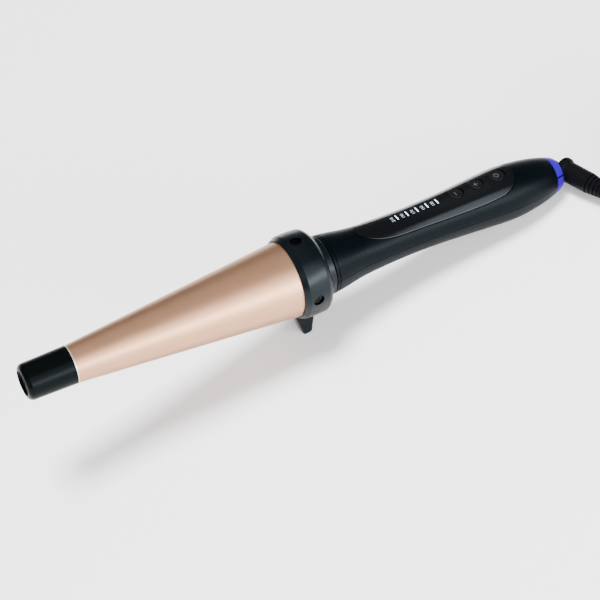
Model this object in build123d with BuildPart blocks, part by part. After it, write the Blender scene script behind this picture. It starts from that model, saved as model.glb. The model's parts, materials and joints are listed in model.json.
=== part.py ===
"""A conical hair-curling wand at rest on a table: heated barrel, heat guard with a rest foot, waisted
handle with a control panel, and a swivelling cord put away in a tied hank with its plug on top.

Row frame: +X runs from the tip towards the tail, -Y is the side that the cord leaves to, +Z is up. The
origin is the bottom centre of the wand without its cord. The wand leans on its foot and on the back of its
handle, so it is drawn in its own slanted frame: stations along its axis count from the tip's end face,
heights from the axis.
"""

import os
from math import cos, pi, radians, sin, sqrt, tan

from build123d import *

os.makedirs("parts", exist_ok=True)

# ---------------------------------------------------------------- placing
LEAN = 10.24  # degrees that the axis falls towards the tail
TIP_X = -151.207
TIP_Z = 62.746

# ---------------------------------------------------------------- tip and barrel
TIP_END = 23.7
TIP_RADIUS = (9.0, 9.4)
BARREL_START = 24.2
BARREL_RADIUS = 9.3
BARREL_SLOPE = 0.0882  # radius gained per mm: 19 mm across at the tip, 38 mm at the guard
BARREL_WALL = 1.2
BARREL_SHOULDER = 138.5
NECK_RADIUS = 17.2
NECK_END = 146.6

# ---------------------------------------------------------------- heat guard and its foot
GUARD_START = 137.0
GUARD_LIP = (19.9, 21.3)  # radii of the sloping front lip
GUARD_RADIUS = 21.55
GUARD_END = 153.4
GUARD_BORE = 19.25
GUARD_SCREW_X = 143.6
GUARD_SCREW_ANGLES = (0, 90, 270)
SCREW_RECESS = 2.9
SCREW_SEAT = 19.75
FOOT_ROOT = (138.8, 152.0)
FOOT_TIP = (145.4, 149.3)
FOOT_DEPTH = 40.0
FOOT_HALF_WIDTH = 3.8

# ---------------------------------------------------------------- handle
HANDLE_WALL = 2.0
HANDLE_LINE = [
    (158.1, 15.2),
    (166.3, 14.2),
    (174.8, 12.85),
    (184.0, 12.1),
    (204.0, 11.5),
    (222.9, 11.9),
    (240.9, 12.95),
    (259.1, 14.15),
    (267.0, 14.35),
    (277.7, 13.45),
    (287.1, 11.8),
    (292.2, 10.4),
]
GROOVE = (159.4, 159.8)
HANDLE_BOSSES = [(182.0, 6.6), (182.0, -6.6), (272.0, 8.3), (272.0, -8.3)]
BOSS_RADIUS = 2.5
SEAM = 0.24
PANEL_EDGE = [
    (181.0, 5.6),
    (190.0, 8.0),
    (206.4, 8.7),
    (224.2, 9.4),
    (243.6, 10.5),
    (256.0, 10.7),
    (264.5, 8.8),
]
PANEL_ENDS = (176.4, 268.8)
PANEL_DEPTH = 0.9
PANEL_PROUD = 0.35
PANEL_GAP = 0.3

# ---------------------------------------------------------------- controls
BUTTONS = {"button_minus": (235.3, 3.9), "button_plus": (247.3, 3.7), "button_power": (259.7, 4.4)}
BUTTON_FOOT = 7.55
BUTTON_GAP = 0.32
BUTTON_PROUD = 0.4
BUTTON_DISH = 0.45
FLANGE = 0.8
BAR_START = 200.5
BAR_PITCH = 5.85
BAR_COUNT = 5
BAR_HALF_WIDTH = 1.8
BAR_THICKNESS = 0.6
BOARD_TOP = 4.8
BOARD_THICKNESS = 1.4

# ---------------------------------------------------------------- tail
RING = (292.4, 297.2)
SEAT_END = 298.8  # the bush's rim stands this far out round the knuckle
BRIDGE_ANGLES = (62, -62)
SPINDLE_RADIUS = 4.0
STEM_RADIUS = 2.6
RUNNING = 0.05  # radial clearance of a running fit
PIVOT_X = 303.6
BALL_RADIUS = 4.8
CUP_RADIUS = 6.7
PIN_RADIUS = 0.8
BEND = 75.0  # degrees between the wand's axis and the cord's exit
BOOT_LENGTH = 30.0
BOOT_RADIUS = 5.6
BOOT_TAPER = 16.5  # where the boot starts to taper
BOOT_END_RADIUS = 3.9

# ---------------------------------------------------------------- cord, as offsets from the pivot
CORD = 5.4
LEAD = [(11.5, -43.5, 6.7), (22.3, -54.7, 4.8), (37.2, -59.3, 3.3), (53.9, -56.3, 3.1), (70.0, -51.0, 3.6)]
TAIL = [
    (46.0, -6.1, 26.5),
    (31.0, -6.3, 29.0),
    (18.5, -19.0, 30.8),
    (17.5, -35.0, 31.4),
    (27.0, -47.7, 32.4),
    (41.5, -51.2, 34.0),
    (55.0, -44.8, 34.9),
]
HANK_Y = -28.0
HANK_X = (39.0, 89.0)
HANK_RADII = (13.8, 24.6)
HANK_Z = (0.9, 27.9)
TIE_X = (61.0, 73.0)
TIE_THICKNESS = 0.8
PLUG_TURN = 25.0
PLUG_BOOT = TAIL[-1][:2]
PLUG_BOOT_LENGTH = 16.0
PLUG_SIZE = (34.0, 35.0, 14.0)
PLUG_PIN = (19.0, 2.0, 19.0)  # length, radius, spacing

# ================================================================ frame of the wand
ALONG = Vector(cos(radians(LEAN)), 0, -sin(radians(LEAN)))
UPWARD = Vector(sin(radians(LEAN)), 0, cos(radians(LEAN)))
SIDE = Vector(0, 1, 0)
TIP = Vector(TIP_X, 0, TIP_Z)
AXIS = Axis(TIP, ALONG)
UPRIGHT = Plane(origin=TIP, x_dir=ALONG, z_dir=-SIDE)  # local x along the wand, local y upward
RADIUS = UPWARD * cos(radians(120)) - SIDE * sin(radians(120))  # where no screw, foot or seam lies
PROFILE = Plane(origin=TIP, x_dir=ALONG, z_dir=ALONG.cross(RADIUS))  # local x along the wand, y its radius


def spot(x, y, z):
    """A point of the wand's own frame."""
    return TIP + ALONG * x + SIDE * y + UPWARD * z


def level(z):
    """The plane at height z over the axis, seen from above."""
    return Plane(origin=spot(0, 0, z), x_dir=ALONG, z_dir=UPWARD)


def spoke(x, angle, radius):
    """The plane across a radius; the angle counts from the top towards the -Y side."""
    out = UPWARD * cos(radians(angle)) - SIDE * sin(radians(angle))
    return Plane(origin=spot(x, 0, 0) + out * radius, x_dir=ALONG, z_dir=out)


def turned(*outline, mode=Mode.ADD):
    """A body of revolution about the wand's axis from (station, radius) corners."""
    with BuildSketch(PROFILE) as profile:
        with BuildLine():
            Polyline(*outline, close=True)
        make_face()
    revolve(profile.sketch, axis=AXIS, mode=mode)


def slab(x0, x1, y0, y1, z0, z1, mode=Mode.ADD):
    """A block with its sides along the wand's own directions."""
    with BuildSketch(level(z0)) as base:
        with Locations(((x0 + x1) / 2, (y0 + y1) / 2)):
            Rectangle(x1 - x0, y1 - y0)
    extrude(base.sketch, amount=z1 - z0, mode=mode)


def post(x, y, radius, z0, z1, mode=Mode.ADD):
    """A round post that stands square to the wand's axis."""
    with BuildSketch(level(z0)) as base:
        with Locations((x, y)):
            Circle(radius)
    extrude(base.sketch, amount=z1 - z0, mode=mode)


def wire(radius, bend, *points):
    """A thin lead through points of the wand's frame."""
    places = [spot(*point) for point in points]
    with BuildLine() as route:
        FilletPolyline(*places, radius=bend)
    with BuildSketch(Plane(origin=route.line @ 0, z_dir=route.line % 0)) as section:
        Circle(radius)
    sweep(section.sketch, path=route.line)


def handle_skin(inner, outer, start, end, mode=Mode.ADD):
    """The band between two offsets from the handle's outline, cut off at two stations."""
    line = HANDLE_LINE
    with BuildSketch(PROFILE) as profile:
        with BuildLine():
            top = Spline(*[(x, r + outer) for x, r in line])
            bottom = Spline(*[(x, r + inner) for x, r in line])
            Line(top @ 0, bottom @ 0)
            Line(top @ 1, bottom @ 1)
        make_face()
        with Locations(((start + end) / 2, 20)):
            Rectangle(end - start, 60, mode=Mode.INTERSECT)
    revolve(profile.sketch, axis=AXIS, mode=mode)


def panel_column(grow, mode=Mode.ADD):
    """The panel's plan outline, moved outward along its normals and carried up through the handle's top."""
    far_side = [(x, -y) for x, y in reversed(PANEL_EDGE)]
    ring = [Vector(*point) for point in [(PANEL_ENDS[0], 0), *PANEL_EDGE, (PANEL_ENDS[1], 0), *far_side]]
    moved = []
    for before, point, after in zip(ring[-1:] + ring, ring, ring[1:] + ring[:1]):
        moved.append(point + (after - before).normalized().rotate(Axis.Z, 90) * grow)
    with BuildSketch(level(0)) as plan:
        with BuildLine():
            Spline(*moved, periodic=True)
        make_face()
    extrude(plan.sketch, amount=20, mode=mode)


def handle_radius(station):
    """The handle's radius at a station, read off its outline."""
    with BuildLine() as outline:
        Spline(*HANDLE_LINE)
    with BuildLine() as cut:
        Line((station, 0), (station, 30))
    return (outline.line.edge() & cut.line.edge()).vertices()[0].Y


def finish(builder, label):
    """Labels a finished piece and writes it."""
    builder.part.label = label
    export_step(builder.part, f"parts/{label}.step")
    return builder.part


def barrel_inside(station):
    """The barrel's inner radius at a station."""
    return BARREL_RADIUS - BARREL_WALL + BARREL_SLOPE * (station - BARREL_START)


def guard_screw_holes(radius, outer, inner):
    """Radial holes where the guard screws stand."""
    for angle in GUARD_SCREW_ANGLES:
        with BuildSketch(spoke(GUARD_SCREW_X, angle, outer)) as hole:
            Circle(radius)
        extrude(hole.sketch, amount=inner - outer, mode=Mode.SUBTRACT)


# ================================================================ tip
with BuildPart() as cool_tip:
    with BuildSketch(PROFILE) as profile:
        with BuildLine():
            Polyline((2.7, TIP_RADIUS[0]), (TIP_END, TIP_RADIUS[1]), (TIP_END, 7.9), (31.0, 7.9))
            Polyline((31.0, 7.9), (31.0, 1.6), (6.0, 1.6), (6.0, 3.2), (1.5, 3.2))
            Polyline((1.5, 3.2), (1.3, 5.7), (0.3, 6.2), (0, 6.4))
            TangentArc((2.7, TIP_RADIUS[0]), (0, 6.4), tangent=(-1, -0.05))
        make_face()
    revolve(axis=AXIS)
finish(cool_tip, "cool_tip")

with BuildPart() as tip_washer:
    turned((TIP_END, 7.95), (TIP_END, 9.5), (BARREL_START, 9.5), (BARREL_START, 7.95))
finish(tip_washer, "tip_washer")

with BuildPart() as tip_bush:
    turned((31.1, 1.35), (31.1, barrel_inside(31.1) - 0.05), (36, barrel_inside(36) - 0.05), (36, 1.35))
finish(tip_bush, "tip_bush")

with BuildPart() as tip_screw:
    turned(
        (3.6, 0),
        (3.6, 2.4),
        (4.3, 3.0),
        (6.0, 3.0),
        (6.0, 1.5),
        (30.9, 1.5),
        (30.9, 1.3),
        (37, 1.3),
        (37, 0),
    )
    with BuildSketch(Plane(origin=spot(3.6, 0, 0), x_dir=SIDE, z_dir=ALONG)) as cross:
        Rectangle(3.2, 0.7)
        Rectangle(0.7, 3.2)
    extrude(cross.sketch, amount=1.3, mode=Mode.SUBTRACT)
finish(tip_screw, "tip_screw")

# ================================================================ barrel and heater
shoulder_radius = BARREL_RADIUS + BARREL_SLOPE * (BARREL_SHOULDER - BARREL_START)
with BuildPart() as barrel:
    turned(
        (BARREL_START, BARREL_RADIUS),
        (BARREL_SHOULDER, shoulder_radius),
        (BARREL_SHOULDER + 1, NECK_RADIUS),
        (NECK_END, NECK_RADIUS),
        (NECK_END, NECK_RADIUS - BARREL_WALL),
        (BARREL_SHOULDER - 0.3, NECK_RADIUS - BARREL_WALL),
        (BARREL_SHOULDER - 1.6, barrel_inside(BARREL_SHOULDER - 1.6)),
        (BARREL_START, BARREL_RADIUS - BARREL_WALL),
    )
finish(barrel, "barrel")

SPREADER = (40.0, 132.0)
SPREADER_WALL = 2.4
SPREADER_FACE = 2.6
SPREADER_WEB = 4.9
with BuildPart() as spreader_hollow:
    first, last = SPREADER[0] - 1, SPREADER[1] + 1
    first_radius, last_radius = (barrel_inside(station) - SPREADER_WALL for station in (first, last))
    turned((first, 0), (first, first_radius), (last, last_radius), (last, 0))
    split(bisect_by=level(SPREADER_WEB), keep=Keep.TOP)

with BuildPart() as heat_spreader_upper:
    first, last = SPREADER
    turned((first, 0), (first, barrel_inside(first) - 0.1), (last, barrel_inside(last) - 0.1), (last, 0))
    split(bisect_by=level(SPREADER_FACE), keep=Keep.TOP)
    add(spreader_hollow.part, mode=Mode.SUBTRACT)
finish(heat_spreader_upper, "heat_spreader_upper")

with BuildPart() as heat_spreader_lower:
    mirror(heat_spreader_upper.part, about=level(0))
finish(heat_spreader_lower, "heat_spreader_lower")

with BuildPart() as ptc_heater:
    slab(46, 126, -7, 7, -2.1, 2.1)
finish(ptc_heater, "ptc_heater")

with BuildPart() as insulation_film:
    slab(45, 127, -7.5, 7.5, -2.5, 2.5)
    slab(45, 127, -7.1, 7.1, -2.2, 2.2, mode=Mode.SUBTRACT)
finish(insulation_film, "insulation_film")

with BuildPart() as thermistor:
    slab(95, 100, -1.6, 1.6, -7.4, -5.0)
    for side in (-0.9, 0.9):
        wire(0.45, 8, (100, side, -6.2), (152, side, -6.2), (189.9, side, 3.8))
finish(thermistor, "thermistor")

with BuildPart() as thermal_fuse:
    with BuildSketch(Plane(origin=spot(104, 0, 7.0), x_dir=SIDE, z_dir=ALONG)) as can:
        Circle(1.9)
    extrude(can.sketch, amount=10)
    wire(0.5, 8, (114, 0, 7.0), (146, 0, 6.4), (193, 0, 5.35))
finish(thermal_fuse, "thermal_fuse")

with BuildPart() as heater_leads:
    for side in (-1, 1):
        heater_end = [(126.1, 4.6 * side, 0), (156, 4.6 * side, 0)]
        board_end = [(174, 2.6 * side, 2.2), (189.9, 2.6 * side, 4.1)]
        wire(0.9, 10, *heater_end, *board_end)
finish(heater_leads, "heater_leads")

# ================================================================ holder and heat guard
with BuildPart() as barrel_holder:
    turned(
        (139.8, NECK_RADIUS + 0.05),
        (139.8, 19.2),
        (149.6, 19.2),
        (149.6, 10.9),
        (171.5, 10.9),
        (171.5, 8.5),
        (146.8, 8.5),
        (146.8, NECK_RADIUS + 0.05),
    )
    guard_screw_holes(1.3, 20, 16.5)
finish(barrel_holder, "barrel_holder")

with BuildPart() as foot:
    with BuildSketch(UPRIGHT) as side_view:
        with BuildLine():
            Polyline(
                (FOOT_ROOT[0], -20.0),
                (FOOT_TIP[0], -FOOT_DEPTH),
                (FOOT_TIP[1], -FOOT_DEPTH),
                (FOOT_ROOT[1], -20.0),
                close=True,
            )
        make_face()
    extrude(amount=FOOT_HALF_WIDTH, both=True)
    fillet(edges().filter_by(lambda edge: edge.length > 15), radius=1.6)
    split(bisect_by=Plane.XY, keep=Keep.TOP)

with BuildPart() as heat_guard:
    with BuildSketch(PROFILE) as profile:
        with BuildLine():
            lip_end = (GUARD_START + 2.7, GUARD_LIP[1])
            Polyline((GUARD_START, 19.6), (GUARD_START, GUARD_LIP[0]), lip_end)
            ThreePointArc(lip_end, (144.4, GUARD_RADIUS), (149.2, 21.4))
            ThreePointArc((149.2, 21.4), (151.0, 21.05), (152.3, 19.9))
            ThreePointArc((152.3, 19.9), (153.1, 18.8), (GUARD_END, 17.6))
            Polyline((GUARD_END, 17.6), (GUARD_END, 15.6), (149.8, 15.6), (149.8, GUARD_BORE))
            Polyline((149.8, GUARD_BORE), (139.4, GUARD_BORE), (139.4, 19.6), (GUARD_START, 19.6))
        make_face()
    revolve(axis=AXIS)
    guard_screw_holes(SCREW_RECESS, 23, SCREW_SEAT)
    guard_screw_holes(1.35, 21, 18)
    add(foot.part)
finish(heat_guard, "heat_guard")

with BuildPart() as guard_screws:
    for angle in GUARD_SCREW_ANGLES:
        with BuildSketch(spoke(GUARD_SCREW_X, angle, SCREW_SEAT)) as head:
            Circle(2.4)
        extrude(head.sketch, amount=0.55)
        with BuildSketch(spoke(GUARD_SCREW_X, angle, 17.4)) as shank:
            Circle(1.3)
        extrude(shank.sketch, amount=2.4)
        with BuildSketch(spoke(GUARD_SCREW_X, angle, SCREW_SEAT + 0.2)) as cross:
            Rectangle(3.0, 0.7, rotation=45)
            Rectangle(0.7, 3.0, rotation=45)
        extrude(cross.sketch, amount=1, mode=Mode.SUBTRACT)
finish(guard_screws, "guard_screws")

with BuildPart() as front_ring:
    turned((149.8, 10.95), (149.8, 15.5), (157.2, 15.3), (157.7, 15.0), (157.7, 10.95))
finish(front_ring, "front_ring")

# ================================================================ handle shells
with BuildPart() as bosses:
    for x, y in HANDLE_BOSSES:
        post(x, y, BOSS_RADIUS, -16, 16)
    handle_skin(-9.0, -0.8, HANDLE_LINE[0][0], HANDLE_LINE[-1][0], mode=Mode.INTERSECT)

with BuildPart() as seam_cut:
    slab(150, 300, -20, 20, -SEAM / 2, SEAM / 2)
    handle_skin(-0.7, 2, HANDLE_LINE[0][0], HANDLE_LINE[-1][0], mode=Mode.INTERSECT)

with BuildPart() as handle_blank:
    handle_skin(-HANDLE_WALL, 0, HANDLE_LINE[0][0], HANDLE_LINE[-1][0])
    turned((163, 10.95), (163, 13.2), (166, 12.6), (166, 10.95))
    turned((281, 7.4), (281, 11.4), (283.3, 11.0), (283.3, 7.4))
    turned((285.9, 7.4), (285.9, 10.6), (288, 10.2), (288, 7.4))
    turned((GROOVE[0], 14.5), (GROOVE[0], 16), (GROOVE[1], 16), (GROOVE[1], 14.5), mode=Mode.SUBTRACT)
    add(bosses.part)
    add(seam_cut.part, mode=Mode.SUBTRACT)

with BuildPart() as panel_recess:
    panel_column(PANEL_GAP)
    handle_skin(-PANEL_DEPTH - 0.1, 3, 170, 275, mode=Mode.INTERSECT)

with BuildPart() as handle_upper:
    add(handle_blank.part)
    split(bisect_by=level(0), keep=Keep.TOP)
    add(panel_recess.part, mode=Mode.SUBTRACT)
    for x, y in HANDLE_BOSSES:
        post(x, y, 0.95, 0, 5.6, mode=Mode.SUBTRACT)
    for x, radius in BUTTONS.values():
        post(x, 0, radius + BUTTON_GAP, 5, 16, mode=Mode.SUBTRACT)
    slab(198, 226.5, -2.7, 2.7, 7, 14, mode=Mode.SUBTRACT)
finish(handle_upper, "handle_upper")

HEAD_SEAT = -5.6
with BuildPart() as handle_lower:
    add(handle_blank.part)
    split(bisect_by=level(0), keep=Keep.BOTTOM)
    for x, y in HANDLE_BOSSES:
        post(x, y, 1.15, -14, 0, mode=Mode.SUBTRACT)
        post(x, y, 2.1, -15, HEAD_SEAT, mode=Mode.SUBTRACT)
finish(handle_lower, "handle_lower")

with BuildPart() as handle_screws:
    for x, y in HANDLE_BOSSES:
        post(x, y, 2.0, HEAD_SEAT - 1.4, HEAD_SEAT)
        post(x, y, 0.95, HEAD_SEAT, 5.0)
        slab(x - 1.4, x + 1.4, y - 0.3, y + 0.3, HEAD_SEAT - 1.4, HEAD_SEAT - 0.6, mode=Mode.SUBTRACT)
        slab(x - 0.3, x + 0.3, y - 1.4, y + 1.4, HEAD_SEAT - 1.4, HEAD_SEAT - 0.6, mode=Mode.SUBTRACT)
finish(handle_screws, "handle_screws")

# ================================================================ controls
bar_stations = [BAR_START + BAR_PITCH * step for step in range(BAR_COUNT)]

with BuildPart() as control_panel:
    panel_column(0)
    handle_skin(-PANEL_DEPTH, PANEL_PROUD, 170, 275, mode=Mode.INTERSECT)
    for x, radius in BUTTONS.values():
        post(x, 0, radius + BUTTON_GAP, 5, 18, mode=Mode.SUBTRACT)
    for x in bar_stations:
        half = BAR_THICKNESS / 2 + 0.03
        slab(x - half, x + half, -BAR_HALF_WIDTH - 0.03, BAR_HALF_WIDTH + 0.03, 7, 16, mode=Mode.SUBTRACT)
finish(control_panel, "control_panel")

with BuildPart() as light_guide:
    slab(bar_stations[0] - 2, bar_stations[-1] + 2, -2.3, 2.3, 5.9, 7.0)
    for x in bar_stations:
        slab(x - BAR_THICKNESS / 2, x + BAR_THICKNESS / 2, -BAR_HALF_WIDTH, BAR_HALF_WIDTH, 7.0, 14)
    handle_skin(-11, PANEL_PROUD + 0.02, 170, 275, mode=Mode.INTERSECT)
finish(light_guide, "light_guide")

with BuildPart() as circuit_board:
    slab(190, 267, -7, 7, BOARD_TOP - BOARD_THICKNESS, BOARD_TOP)
finish(circuit_board, "circuit_board")

with BuildPart() as board_components:
    slab(229, 236, -6.4, -1.0, -2.2, BOARD_TOP - BOARD_THICKNESS)
    slab(240, 252, -5.5, 5.5, -4.6, BOARD_TOP - BOARD_THICKNESS)
    slab(205, 211, -3, 3, 1.9, BOARD_TOP - BOARD_THICKNESS)
    post(260, 0, 3.2, -5.5, BOARD_TOP - BOARD_THICKNESS)
finish(board_components, "board_components")

with BuildPart() as indicator_leds:
    for x in bar_stations:
        slab(x - 0.5, x + 0.5, -0.9, 0.9, BOARD_TOP, BOARD_TOP + 0.8)
finish(indicator_leds, "indicator_leds")

with BuildPart() as tact_switches:
    for x, radius in BUTTONS.values():
        slab(x - 2.6, x + 2.6, -2.6, 2.6, BOARD_TOP, BOARD_TOP + 1.4)
        post(x, 0, 1.2, BOARD_TOP + 1.4, BOARD_TOP + 1.8)
finish(tact_switches, "tact_switches")

for name, (x, radius) in BUTTONS.items():
    dish_radius = ((radius - 0.5) ** 2 + BUTTON_DISH**2) / (2 * BUTTON_DISH)
    crown = sqrt((handle_radius(x) + PANEL_PROUD) ** 2 - radius**2) + BUTTON_PROUD
    with BuildPart() as button:
        post(x, 0, radius, BUTTON_FOOT, crown)
        fillet(faces().sort_by(lambda face: (face.center() - TIP).dot(UPWARD))[-1].edges(), radius=0.35)
        with Locations(spot(x, 0, crown + dish_radius - BUTTON_DISH)):
            Sphere(dish_radius, mode=Mode.SUBTRACT)
        post(x, 0, radius + FLANGE, BUTTON_FOOT, BUTTON_FOOT + 0.9)
    finish(button, name)

# ================================================================ tail: lit ring, bush and swivel
with BuildPart() as ring_blank:
    with BuildSketch(PROFILE) as profile:
        with BuildLine():
            ThreePointArc((RING[0], 10.3), (294.9, 9.55), (RING[1], 8.5))
            Polyline((RING[1], 8.5), (RING[1], 7.4), (RING[0], 7.4), (RING[0], 10.3))
        make_face()
    revolve(axis=AXIS)

with BuildPart() as bridges:
    for angle in BRIDGE_ANGLES:
        with BuildSketch(spoke((RING[0] + RING[1]) / 2, angle, 7.0)) as rib:
            Rectangle(6, 0.9)
        extrude(rib.sketch, amount=5)
    add(ring_blank.part, mode=Mode.INTERSECT)

with BuildPart() as end_ring:
    add(ring_blank.part)
    add(bridges.part, mode=Mode.SUBTRACT)
finish(end_ring, "end_ring")

with BuildPart() as swivel_bush:
    turned(
        (283, SPINDLE_RADIUS + RUNNING),
        (283, 7.35),
        (283.6, 7.35),
        (283.6, 9.2),
        (285.6, 9.2),
        (285.6, 7.35),
        (292.4, 7.35),
        (292.4, 7.4),
        (297.2, 7.4),
        (SEAT_END, 7.1),
        (SEAT_END, 6.4),
        (297.0, 6.0),
        (297.0, STEM_RADIUS + RUNNING),
        (294.6, STEM_RADIUS + RUNNING),
        (294.6, SPINDLE_RADIUS + RUNNING),
    )
    add(bridges.part)
finish(swivel_bush, "swivel_bush")

with BuildPart() as swivel_spindle:
    turned(
        (269.5, 0),
        (269.5, 2.6),
        (279.4, 2.6),
        (279.4, SPINDLE_RADIUS),
        (281.6, SPINDLE_RADIUS),
        (281.6, 3.2),
        (282.6, 3.2),
        (282.6, SPINDLE_RADIUS),
        (294.3, SPINDLE_RADIUS),
        (294.3, STEM_RADIUS),
        (PIVOT_X, STEM_RADIUS),
        (PIVOT_X, 0),
    )
    with Locations(spot(PIVOT_X, 0, 0)):
        Sphere(BALL_RADIUS)
    post(PIVOT_X, 0, PIN_RADIUS + RUNNING, -8, 8, mode=Mode.SUBTRACT)
finish(swivel_spindle, "swivel_spindle")

with BuildPart() as spindle_clip:
    turned((281.65, 3.2), (281.65, 6.4), (282.55, 6.4), (282.55, 3.2))
    slab(281, 283, -1.4, 1.4, 0, 8, mode=Mode.SUBTRACT)
finish(spindle_clip, "spindle_clip")

with BuildPart() as contact_rings:
    for x in (271.0, 275.5):
        turned((x, 2.6), (x, 4.4), (x + 2, 4.4), (x + 2, 2.6))
finish(contact_rings, "contact_rings")

with BuildPart() as contact_brushes:
    slab(263, 273, 1.4, 2.8, BOARD_TOP, BOARD_TOP + 0.3)
    slab(263, 277.5, -2.8, -1.4, BOARD_TOP, BOARD_TOP + 0.3)
finish(contact_brushes, "contact_brushes")

# ================================================================ strain relief on its pin
PIVOT = spot(PIVOT_X, 0, 0)
EXIT = ALONG * cos(radians(BEND)) - SIDE * sin(radians(BEND))
INWARD = ALONG * -sin(radians(BEND)) - SIDE * cos(radians(BEND))
BOOT = Plane(origin=PIVOT, x_dir=EXIT, z_dir=EXIT.cross(UPWARD))  # local x out along the boot, local y upward
BOOT_LEVEL = Plane(origin=PIVOT, x_dir=EXIT, z_dir=UPWARD)
handle_side = 1 if BOOT_LEVEL.y_dir.dot(INWARD) > 0 else -1

tapered_end = (BOOT_LENGTH - 0.5, BOOT_END_RADIUS)

with BuildPart() as strain_relief:
    with BuildSketch(BOOT) as profile:
        with BuildLine():
            Polyline((BOOT_LENGTH, 0), (-1.8, 0), (-1.8, 6.0), (-1.3, 6.4))
            ThreePointArc((-1.3, 6.4), (0.1, CUP_RADIUS), (1.4, 6.5))
            Polyline((1.4, 6.5), (3.0, BOOT_RADIUS), (BOOT_TAPER, BOOT_RADIUS - 0.1), tapered_end)
            Polyline(tapered_end, (BOOT_LENGTH, BOOT_END_RADIUS - 0.5), (BOOT_LENGTH, 0))
        make_face()
    revolve(axis=Axis(PIVOT, EXIT))
    with BuildSketch(BOOT) as slots:
        for step in range(5):
            station = BOOT_TAPER + 1 + 2.3 * step
            with Locations((station, 5.9 - 0.12 * (station - BOOT_TAPER))):
                Rectangle(0.9, 2.2)
    revolve(slots.sketch, axis=Axis(PIVOT, EXIT), mode=Mode.SUBTRACT)
    with Locations(PIVOT):
        Sphere(BALL_RADIUS + 0.3, mode=Mode.SUBTRACT)
    with BuildSketch(BOOT_LEVEL.offset(-3.4)) as gap:
        with Locations((-1.35, 0)):
            Rectangle(3.3, 16)
    extrude(gap.sketch, amount=6.8, mode=Mode.SUBTRACT)
    with BuildSketch(BOOT_LEVEL.offset(-2.95)) as slot:
        with Locations((-0.3, 4 * handle_side)):
            Rectangle(5.4, 8)
    extrude(slot.sketch, amount=5.9, mode=Mode.SUBTRACT)
    with BuildSketch(BOOT_LEVEL.offset(-8)) as bore:
        Circle(PIN_RADIUS)
    extrude(bore.sketch, amount=16, mode=Mode.SUBTRACT)
finish(strain_relief, "strain_relief")

with BuildPart() as hinge_pin:
    post(PIVOT_X, 0, PIN_RADIUS, -5.6, 5.6)
finish(hinge_pin, "hinge_pin")


# ================================================================ cord, hank and plug
def outside(x, y, z):
    """A point beyond the tail: x and y from the pivot, z from the table."""
    return Vector(PIVOT.X + x, PIVOT.Y + y, z)


def corner_radii(points):
    """The largest arc that each corner's two runs allow."""
    radii = []
    for before, corner, after in zip(points, points[1:], points[2:]):
        turn = radians((corner - before).get_angle(after - corner))
        radii.append(0.45 * min((corner - before).length, (after - corner).length) / tan(turn / 2))
    return radii


def cord_tube(points):
    """The cord's tube along straight runs joined by arcs, with its radii and volume printed."""
    radii = corner_radii(points)
    with BuildLine() as route:
        FilletPolyline(*points, radius=radii)
    with BuildSketch(Plane(origin=route.line @ 0, z_dir=route.line % 0)) as section:
        Circle(CORD / 2)
    tube = sweep(section.sketch, path=route.line)
    length = sum(edge.length for edge in route.edges())
    expected = pi * CORD**2 / 4 * length
    print("cord radii", [round(radius / CORD, 1) for radius in radii], "diameters")
    print("length", round(length, 1), "volume ratio", round(tube.volume / expected, 4))


boot_end = PIVOT + EXIT * BOOT_LENGTH
with BuildPart() as cord_lead:
    cord_tube([boot_end] + [outside(*point) for point in LEAD])
finish(cord_lead, "cord_lead")

with BuildPart() as cord_tail:
    cord_tube([outside(*point) for point in TAIL])
finish(cord_tail, "cord_tail")

HANK_FLOOR = Plane(origin=outside(0, 0, HANK_Z[0]))
with BuildPart() as cord_hank:
    with BuildSketch(HANK_FLOOR) as racetrack:
        with Locations((sum(HANK_X) / 2, HANK_Y)):
            SlotCenterToCenter(HANK_X[1] - HANK_X[0], 2 * HANK_RADII[1])
            SlotCenterToCenter(HANK_X[1] - HANK_X[0], 2 * HANK_RADII[0], mode=Mode.SUBTRACT)
    extrude(amount=HANK_Z[1] - HANK_Z[0])
finish(cord_hank, "cord_hank")

run_width = HANK_RADII[1] - HANK_RADII[0]
run_height = HANK_Z[1] - HANK_Z[0]
run_y = HANK_Y + sum(HANK_RADII) / 2
tie_end = outside(TIE_X[0], run_y, sum(HANK_Z) / 2)
with BuildPart() as hank_tie:
    with BuildSketch(Plane(origin=tie_end, x_dir=SIDE, z_dir=(1, 0, 0))) as band:
        RectangleRounded(run_width + 2 * TIE_THICKNESS, run_height + 2 * TIE_THICKNESS, TIE_THICKNESS)
        Rectangle(run_width, run_height, mode=Mode.SUBTRACT)
    extrude(amount=TIE_X[1] - TIE_X[0])
finish(hank_tie, "hank_tie")

length, width, thickness = PLUG_SIZE
heading = Vector(cos(radians(PLUG_TURN)), sin(radians(PLUG_TURN)), 0)
plug_centre = outside(*PLUG_BOOT, HANK_Z[1] + thickness / 2) + heading * PLUG_BOOT_LENGTH
PLUG = Plane(origin=plug_centre, x_dir=heading, z_dir=(0, 0, 1))
with BuildPart() as plug_body:
    with BuildSketch(PLUG.offset(-thickness / 2)) as outline:
        with BuildLine():
            Polyline(
                (0, -5.5),
                (8, -width / 2 + 3),
                (14, -width / 2),
                (length, -width / 2 + 2.5),
                (length, width / 2 - 2.5),
                (14, width / 2),
                (8, width / 2 - 3),
                (0, 5.5),
                close=True,
            )
        make_face()
        fillet(vertices(), radius=2.0)
    extrude(amount=thickness)
    fillet(faces().filter_by(Axis.Z).edges(), radius=1.8)
    with BuildSketch(Plane(origin=plug_centre + heading * 2, x_dir=(0, 0, 1), z_dir=-heading)) as root:
        Circle(4.8)
    nose_end = plug_centre - heading * PLUG_BOOT_LENGTH
    with BuildSketch(Plane(origin=nose_end, x_dir=(0, 0, 1), z_dir=-heading)) as nose:
        Circle(3.6)
    loft(Sketch() + [root.sketch, nose.sketch])
finish(plug_body, "plug_body")

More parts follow.
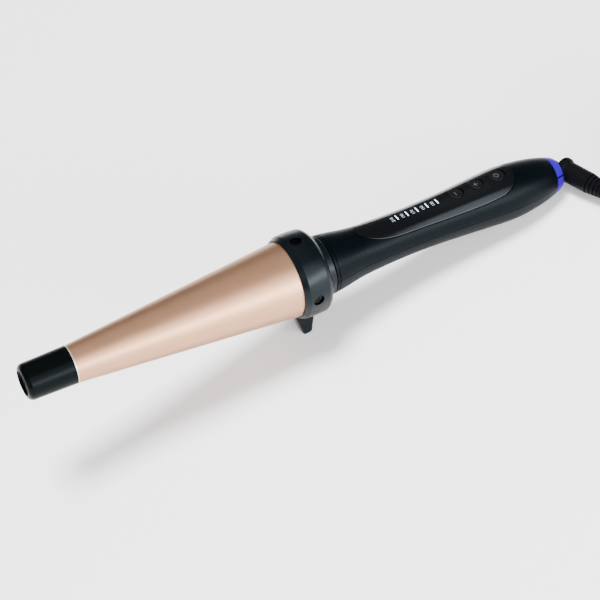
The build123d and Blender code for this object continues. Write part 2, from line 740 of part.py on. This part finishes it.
pin_length, pin_radius, pin_spacing = PLUG_PIN
with BuildPart() as plug_pins:
    with BuildSketch(Plane(origin=plug_centre + heading * length, x_dir=(0, 0, 1), z_dir=heading)) as bases:
        with GridLocations(0, pin_spacing, 1, 2):
            Circle(pin_radius)
    extrude(amount=pin_length)
    chamfer(faces().sort_by(Axis(plug_centre, heading))[-2:].edges(), length=0.7)
finish(plug_pins, "plug_pins")
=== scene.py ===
"""The curling wand's looks: camera, light, materials, cord and the small printed marks."""

import json
from math import cos, radians, sin

import bmesh
import bpy
from mathutils import Matrix, Vector


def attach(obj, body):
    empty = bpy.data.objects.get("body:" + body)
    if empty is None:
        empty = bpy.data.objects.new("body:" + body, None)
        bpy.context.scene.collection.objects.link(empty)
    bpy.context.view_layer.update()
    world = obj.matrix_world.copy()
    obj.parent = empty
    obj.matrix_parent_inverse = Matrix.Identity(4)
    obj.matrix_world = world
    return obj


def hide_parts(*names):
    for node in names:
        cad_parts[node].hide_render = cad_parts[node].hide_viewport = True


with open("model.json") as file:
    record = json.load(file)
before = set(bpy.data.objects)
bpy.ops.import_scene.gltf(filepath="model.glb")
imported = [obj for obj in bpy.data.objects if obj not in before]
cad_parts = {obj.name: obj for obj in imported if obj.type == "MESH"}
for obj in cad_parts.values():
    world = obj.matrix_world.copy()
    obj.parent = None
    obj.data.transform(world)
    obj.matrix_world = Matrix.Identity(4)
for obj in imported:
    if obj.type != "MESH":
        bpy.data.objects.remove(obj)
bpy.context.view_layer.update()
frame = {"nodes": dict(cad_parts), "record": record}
MM = 0.001

# ---------------------------------------------------------------- the wand's own frame
joints = {joint["name"]: joint for joint in frame["record"]["behaviour"]["joints"]}
ALONG = Vector(joints["cord_swivel"]["axis"]).normalized()
UPWARD = Vector(joints["boot_tilt"]["axis"]).normalized()
NEAR = Vector((0, -1, 0))
FAR = -NEAR
TIPWARD = -ALONG
PIVOT = Vector(joints["boot_tilt"]["pos_m"])
PIVOT_STATION = 303.6
TIP = PIVOT - ALONG * PIVOT_STATION * MM


def spot(station, near, height):
    """A point by its distance from the tip, towards the near side and over the axis, in millimetres."""
    return TIP + (ALONG * station + NEAR * near + UPWARD * height) * MM


def basis(origin, x_axis, y_axis):
    """A matrix that puts an object's own X and Y along two directions."""
    z_axis = x_axis.cross(y_axis)
    turn = Matrix((x_axis, y_axis, z_axis)).transposed().to_4x4()
    return Matrix.Translation(origin) @ turn


# ---------------------------------------------------------------- camera
VIEW_RIGHT = ALONG * 0.869 - UPWARD * 0.026 + NEAR * 0.494
VIEW_DOWN = ALONG * -0.349 - UPWARD * 0.739 + NEAR * 0.576
AIM_STATION = 145.3  # what the camera looks at, on the wand's axis
DISTANCE = 778.6
DROP = 12.75  # the camera stands this much lower in the picture than what it looks at
LENS = 96
SENSOR = 36


def make_camera():
    """A long lens that looks down the wand from its near side."""
    right = VIEW_RIGHT.normalized()
    down = (VIEW_DOWN - right * VIEW_DOWN.dot(right)).normalized()
    ahead = right.cross(down)
    place = spot(AIM_STATION, 0, 0) + (down * DROP - ahead * DISTANCE) * MM
    data = bpy.data.cameras.new("view")
    data.lens = LENS
    data.sensor_width = SENSOR
    camera = bpy.data.objects.new("view", data)
    camera.matrix_world = basis(place, right, -down)
    bpy.context.scene.collection.objects.link(camera)
    bpy.context.scene.camera = camera


# ---------------------------------------------------------------- light and table
WORLD_COLOUR = (0.93, 0.95, 1.0, 1)
WORLD_STRENGTH = 0.2
LAMP_AIM = Vector((0, 0, 0.03))
SOFTBOXES = {  # place and size in metres, and watts
    "near_low": ((0.45, -1.25, 0.36), (1.5, 0.36), 40),
    "near_high": ((0.10, -1.00, 0.90), (1.6, 0.65), 12),
    "overhead": ((0.0, 0.30, 1.8), (2.4, 2.4), 10),
    "tip_side": ((-1.3, -0.5, 0.5), (0.5, 0.5), 4),
}
SUN_STRENGTH = 9.0
SUN_SPREAD = radians(24)
SUN_DIRECTION = Vector((0.0, -0.14, -1.0))
TABLE_HALF = 4.0
TABLE_GLOW = 0.2


def add_lamp(name, kind, power, direction):
    """A lamp that shines along a direction."""
    data = bpy.data.lights.new(name, kind)
    data.energy = power
    lamp = bpy.data.objects.new(name, data)
    lamp.rotation_euler = direction.to_track_quat("-Z", "Y").to_euler()
    bpy.context.scene.collection.objects.link(lamp)
    return lamp


def make_lamps():
    """Soft lamps that face the wand, and a broad sun for the table and the wand's shadow on it."""
    for name, (place, size, power) in SOFTBOXES.items():
        lamp = add_lamp(name, "AREA", power, LAMP_AIM - Vector(place))
        lamp.location = place
        lamp.data.shape = "RECTANGLE"
        lamp.data.size = size[0]
        lamp.data.size_y = size[1]
    sun = add_lamp("floor_light", "SUN", SUN_STRENGTH, SUN_DIRECTION)
    sun.data.angle = SUN_SPREAD
    sun.visible_glossy = False  # it leaves no streak in the barrel or the gloss panel


def make_studio():
    """A white table top in a dim pale room."""
    world = bpy.data.worlds.new("studio")
    world.use_nodes = True
    backdrop = world.node_tree.nodes["Background"]
    backdrop.inputs["Color"].default_value = WORLD_COLOUR
    backdrop.inputs["Strength"].default_value = WORLD_STRENGTH
    bpy.context.scene.world = world
    make_lamps()
    signs = ((-1, -1), (1, -1), (1, 1), (-1, 1))
    corners = [(x * TABLE_HALF, y * TABLE_HALF, 0) for x, y in signs]
    mesh = bpy.data.meshes.new("table_top")
    mesh.from_pydata(corners, [], [(0, 1, 2, 3)])
    glow = {"Emission_Color": (1, 1, 1, 1), "Emission_Strength": TABLE_GLOW}
    mesh.materials.append(surface("table_top", (0.90, 0.90, 0.91), 0.6, grain=40, shade=0.01, bump=0, **glow))
    top = bpy.data.objects.new("table_top", mesh)
    bpy.context.scene.collection.objects.link(top)


# ---------------------------------------------------------------- materials
BROAD_SHARE = 1 / 12  # the soft variation's scale against the grain's
FINE_SHARE = 4
BROAD_DETAIL = 4
FINE_DETAIL = 2
GRAIN_HEIGHT = 0.0002
COOL = (0.75, 0.9, 1.0, 1)
DARK = {"Specular_IOR_Level": 0.06, "Specular_Tint": COOL}
GLOSSY = {"Specular_IOR_Level": 0.18, "Specular_Tint": COOL}
BRIGHT = {"Specular_IOR_Level": 0.40, "Specular_Tint": COOL}
# The ring's faint blue glow is painted light: a weak blue emission that brightens its colour.
PAINTED_BLUE_GLOW = {"Specular_IOR_Level": 0.05, "Emission_Color": (0.10, 0.0, 1.0, 1), "Emission_Strength": 0.22}
LOOKS = {  # each slot's colour, roughness and what else its surface has
    "tip_plastic": ((0.0006, 0.0010, 0.0010), 0.30, DARK),
    "pale_rim": ((0.70, 0.62, 0.56), 0.30, {"metal": 0.8}),
    "barrel_metal": ((0.51, 0.282, 0.166), 0.40, {"metal": 0.92, "grain": 1500, "shade": 0.08, "bump": 0.16}),
    "guard_plastic": ((0.0009, 0.0017, 0.0021), 0.30, {"spread": 0.04, **GLOSSY}),
    "handle_plastic": ((0.0007, 0.0014, 0.0020), 0.36, DARK),
    "panel_gloss": ((0.001, 0.001, 0.0012), 0.20, {"spread": 0.03, "bump": 0.01, **BRIGHT}),
    "button_plastic": ((0.0045, 0.0045, 0.005), 0.26, {"spread": 0.03, "bump": 0.03, **DARK}),
    "light_white": ((0.85, 0.87, 0.92), 0.35, {"grain": 500, "shade": 0.03}),
    # the blue ring glows faintly with painted light from a weak emission
    "ring_blue": ((0.012, 0.0, 0.16), 0.3, {"grain": 300, "shade": 0.15, **PAINTED_BLUE_GLOW}),
    "knuckle_plastic": ((0.002, 0.002, 0.0025), 0.36, DARK),
    "relief_rubber": ((0.003, 0.003, 0.0035), 0.50, {"bump": 0.15, **DARK}),
    "cord_rubber": ((0.006, 0.006, 0.0065), 0.48, {"bump": 0.12, **DARK}),
    "plug_plastic": ((0.006, 0.006, 0.0065), 0.42, DARK),
    "tie_rubber": ((0.012, 0.012, 0.013), 0.6, {"bump": 0.2, **DARK}),
    "plated_metal": ((0.80, 0.78, 0.74), 0.28, {"metal": 1.0, "shade": 0.04, "bump": 0.02}),
    "steel": ((0.015, 0.015, 0.017), 0.40, {"metal": 1.0, "grain": 2200, "bump": 0.06}),
    "brass": ((0.80, 0.58, 0.25), 0.24, {"metal": 1.0, "bump": 0.03}),
    "cast_alloy": ((0.62, 0.62, 0.63), 0.42, {"metal": 1.0, "bump": 0.12}),
    "ceramic": ((0.70, 0.66, 0.58), 0.6, {}),
    "film": ((0.72, 0.42, 0.06), 0.2, {"bump": 0.02}),
    "wire_cover": ((0.80, 0.80, 0.78), 0.4, {}),
    "nylon": ((0.05, 0.05, 0.05), 0.5, {}),
    "board": ((0.02, 0.16, 0.07), 0.35, {"grain": 700, "shade": 0.2}),
    "components": ((0.03, 0.03, 0.03), 0.45, {}),
    "led": ((0.92, 0.90, 0.80), 0.25, {"bump": 0.02}),
    "grey_print": ((0.26, 0.34, 0.42), 0.5, {"grain": 500, "bump": 0}),
    "faint_print": ((0.05, 0.055, 0.06), 0.5, {"grain": 500, "bump": 0}),
}


def surface(name, colour, roughness, metal=0.0, grain=900, shade=0.12, spread=0.06, bump=0.08, **sockets):
    """A moulded or coated surface: its colour and gloss vary softly, and a fine grain stands in its bump."""
    material = bpy.data.materials.new(name)
    material.use_nodes = True
    tree = material.node_tree
    nodes, links = tree.nodes, tree.links
    shader = nodes["Principled BSDF"]
    shader.inputs["Metallic"].default_value = metal
    for socket, value in sockets.items():
        shader.inputs[socket.replace("_", " ")].default_value = value
    place = nodes.new("ShaderNodeTexCoord")
    broad = nodes.new("ShaderNodeTexNoise")
    broad.inputs["Scale"].default_value = grain * BROAD_SHARE
    broad.inputs["Detail"].default_value = BROAD_DETAIL
    links.new(place.outputs["Object"], broad.inputs["Vector"])
    mix = nodes.new("ShaderNodeMix")
    mix.data_type = "RGBA"
    mix.inputs["A"].default_value = (*[c * (1 - shade) for c in colour], 1)
    mix.inputs["B"].default_value = (*[min(1, c * (1 + shade)) for c in colour], 1)
    links.new(broad.outputs["Fac"], mix.inputs["Factor"])
    links.new(mix.outputs["Result"], shader.inputs["Base Color"])
    gloss = nodes.new("ShaderNodeMapRange")
    gloss.inputs["To Min"].default_value = roughness - spread
    gloss.inputs["To Max"].default_value = roughness + spread
    links.new(broad.outputs["Fac"], gloss.inputs["Value"])
    links.new(gloss.outputs["Result"], shader.inputs["Roughness"])
    if bump:
        fine = nodes.new("ShaderNodeTexNoise")
        fine.inputs["Scale"].default_value = grain * FINE_SHARE
        fine.inputs["Detail"].default_value = FINE_DETAIL
        links.new(place.outputs["Object"], fine.inputs["Vector"])
        relief = nodes.new("ShaderNodeBump")
        relief.inputs["Strength"].default_value = bump
        relief.inputs["Distance"].default_value = GRAIN_HEIGHT
        links.new(fine.outputs["Fac"], relief.inputs["Height"])
        links.new(relief.outputs["Normal"], shader.inputs["Normal"])
    return material


def make_materials():
    """One material for each slot of the record, and two for the prints."""
    materials = {}
    for name, (colour, roughness, rest) in LOOKS.items():
        materials[name] = surface(name, colour, roughness, **rest)
    return materials


def dress_nodes(materials):
    """Gives each CAD node its slot's material."""
    for entry in frame["record"]["subparts"]:
        for slot in frame["nodes"][entry["node"]].material_slots:
            slot.material = materials[entry["material_slot"]]


# ---------------------------------------------------------------- cord
CORD = 5.4
BEVEL_STEPS = 5
CURVE_STEPS = 6
BOOT_LENGTH = 30.0
BEND = radians(75.0)
LEAD = [(11.5, -43.5, 6.7), (22.3, -54.7, 4.8), (37.2, -59.3, 3.3), (53.9, -56.3, 3.1), (70.0, -51.0, 3.6)]
TAIL = [
    (46.0, -6.1, 26.5),
    (31.0, -6.3, 29.0),
    (18.5, -19.0, 30.8),
    (17.5, -35.0, 31.4),
    (27.0, -47.7, 32.4),
    (41.5, -51.2, 34.0),
    (55.0, -44.8, 34.9),
]
HANK_Y = -28.0
HANK_X = (39.0, 89.0)
STRAIGHT_SHARES = (0.1, 0.367, 0.633, 0.9)
BEND_ANGLES = (-72, -36, 0, 36, 72)
RADII = (21.9, 16.5)
BULGE = 0.951  # a turn's control points stand outside its circle by this much
LAYER = 5.4
FIRST_LAYER = 3.6
ROWS = [(0, 0), (1, 0), (1, 1), (0, 1), (0, 2), (1, 2), (1, 3), (0, 3), (0, 4), (1, 4)]  # radius and layer
ROW_CHANGES = [17, 34, 51, 63, 80, 97, 114, 126, 143]  # the points at which the next row starts
WHOLE_TURNS = 8
LAST_POINTS = 8


def outside(x, y, z):
    """A point beyond the tail: x and y from the pivot, z from the table, in millimetres."""
    return Vector((PIVOT.x + x * MM, PIVOT.y + y * MM, z * MM))


def racetrack(radius):
    """One turn of the hank as (x, y) stations, from the near side's right end round by the far side."""
    left, right = HANK_X
    straight = [right - (right - left) * share for share in STRAIGHT_SHARES]
    bend = [radians(angle) for angle in BEND_ANGLES]
    reach = radius / BULGE
    turn = [(straight[0], -radius)]
    turn += [(right + reach * cos(angle), reach * sin(angle)) for angle in bend]
    turn += [(x, radius) for x in straight]
    turn += [(left - reach * cos(angle), -reach * sin(angle)) for angle in bend]
    turn += [(x, -radius) for x in reversed(straight[1:])]
    return turn


def hank_points():
    """The hank's turns, row by row: the cord steps to its next row on a straight run."""
    turns = [racetrack(radius) for radius in RADII]
    around = len(turns[0])
    points = []
    for step in range(around * WHOLE_TURNS + LAST_POINTS + 1):
        row, layer = ROWS[sum(step >= change for change in ROW_CHANGES)]
        x, y = turns[row][step % around]
        points.append(outside(x, HANK_Y + y, FIRST_LAYER + LAYER * layer))
    return points


def make_cord(material):
    """The whole cord on one smooth line: the lead, the tied hank and the tail up to the plug."""
    leaving = ALONG * cos(BEND) + NEAR * sin(BEND)
    start = PIVOT + leaving * BOOT_LENGTH * MM
    lead = [outside(*point) for point in LEAD]
    tail = [outside(*point) for point in TAIL]
    route = [start] + lead + hank_points() + tail
    data = bpy.data.curves.new("cord", "CURVE")
    data.dimensions = "3D"
    data.bevel_depth = CORD / 2 * MM
    data.bevel_resolution = BEVEL_STEPS
    data.resolution_u = CURVE_STEPS
    data.use_fill_caps = True
    line = data.splines.new("NURBS")
    line.points.add(len(route) - 1)
    for point, place in zip(line.points, route):
        point.co = (*place, 1)
    line.order_u = 3
    line.use_endpoint_u = True
    data.materials.append(material)
    cord = bpy.data.objects.new("cord", data)
    bpy.context.scene.collection.objects.link(cord)
    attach(cord, "cord_boot")
    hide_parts("cord_lead", "cord_tail", "cord_hank")


# ---------------------------------------------------------------- printed marks
PRINT_THICKNESS = 0.04
RAY_START = 0.06  # metres above the axis, well clear of the wand
NUMBERS = ("210", "190", "170", "150", "130")
NUMBER_FIRST = 197.9
NUMBER_PITCH = 5.85
NUMBER_NEAR = 0.5
NUMBER_SIZE = 2.3
LETTER_STEPS = 3
SIGN_STATIONS = {"minus": 235.3, "plus": 247.3, "power": 259.7}
SIGN_HALF = 1.3
SIGN_WIDTH = 0.35
STROKE_STEPS = 6
RING_START = 130  # degrees: the power sign's ring is open at its top
RING_SWEEP = 280
RING_STEPS = 20
POWER_BAR = (0.4, 1.7)


def printed(name, mesh, station, near, node, body, material):
    """A thin print on a node: the flat mesh, in millimetres, is laid on the surface below it."""
    ground = frame["nodes"][node]
    start = spot(station, near, 0)
    for vertex in mesh.vertices:
        place = start + (FAR * vertex.co.x + TIPWARD * vertex.co.y) * MM
        found, hit, _, _ = ground.ray_cast(place + UPWARD * RAY_START, -UPWARD)
        if not found:
            raise RuntimeError(f"{name} lies off {node}")
        vertex.co = hit + UPWARD * vertex.co.z * MM
    mesh.materials.clear()
    mesh.materials.append(material)
    piece = bpy.data.objects.new(name, mesh)
    bpy.context.scene.collection.objects.link(piece)
    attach(piece, body)


def lettering(words, size):
    """A number as a flat, centred solid mesh, in millimetres."""
    data = bpy.data.curves.new("lettering", "FONT")
    data.body = words
    data.size = size
    data.align_x = "CENTER"
    data.align_y = "CENTER"
    data.extrude = PRINT_THICKNESS
    data.resolution_u = LETTER_STEPS
    pattern = bpy.data.objects.new("lettering", data)
    mesh = bpy.data.meshes.new_from_object(pattern)
    bpy.data.objects.remove(pattern)
    return mesh


def strips(paths, width):
    """Flat solid strips along open paths of (x, y) points, in millimetres."""
    build = bmesh.new()
    low = Vector((0, 0, -PRINT_THICKNESS))
    for path in paths:
        points = [Vector((*point, 0)) for point in path]
        rings = []
        for index, point in enumerate(points):
            before = points[max(index - 1, 0)]
            after = points[min(index + 1, len(points) - 1)]
            along = (after - before).normalized()
            across = Vector((-along.y, along.x, 0)) * width / 2
            left = point + across
            right = point - across
            corners = (left + low, right + low, right - low, left - low)
            rings.append([build.verts.new(corner) for corner in corners])
        for first, second in zip(rings, rings[1:]):
            for side in range(4):
                beside = (side + 1) % 4
                build.faces.new((first[side], first[beside], second[beside], second[side]))
        build.faces.new(reversed(rings[0]))
        build.faces.new(rings[-1])
    bmesh.ops.recalc_face_normals(build, faces=build.faces)
    mesh = bpy.data.meshes.new("strips")
    build.to_mesh(mesh)
    build.free()
    return mesh


def stroke(start, end):
    """A straight path of evenly spaced points."""
    shares = [step / STROKE_STEPS for step in range(STROKE_STEPS + 1)]
    return [tuple(a + (b - a) * share for a, b in zip(start, end)) for share in shares]


def make_prints(materials):
    """The numbers beside the five bars, and the signs in the three buttons."""
    for index, words in enumerate(NUMBERS):
        station = NUMBER_FIRST + NUMBER_PITCH * index
        mesh = lettering(words, NUMBER_SIZE)
        grey = materials["grey_print"]
        printed(f"number_{words}", mesh, station, NUMBER_NEAR, "control_panel", "wand", grey)
    bar = stroke((-SIGN_HALF, 0), (SIGN_HALF, 0))
    post = stroke((0, -SIGN_HALF), (0, SIGN_HALF))
    turn = [radians(RING_START + RING_SWEEP * step / RING_STEPS) for step in range(RING_STEPS + 1)]
    ring = [(SIGN_HALF * cos(angle), SIGN_HALF * sin(angle)) for angle in turn]
    low, high = POWER_BAR
    signs = {"minus": [bar], "plus": [bar, post], "power": [ring, stroke((0, low), (0, high))]}
    for name, paths in signs.items():
        button = f"button_{name}"
        mesh = strips(paths, SIGN_WIDTH)
        printed(f"sign_{name}", mesh, SIGN_STATIONS[name], 0, button, button, materials["faint_print"])


# ---------------------------------------------------------------- making
materials = make_materials()
make_camera()
make_studio()
dress_nodes(materials)
make_cord(materials["cord_rubber"])
make_prints(materials)
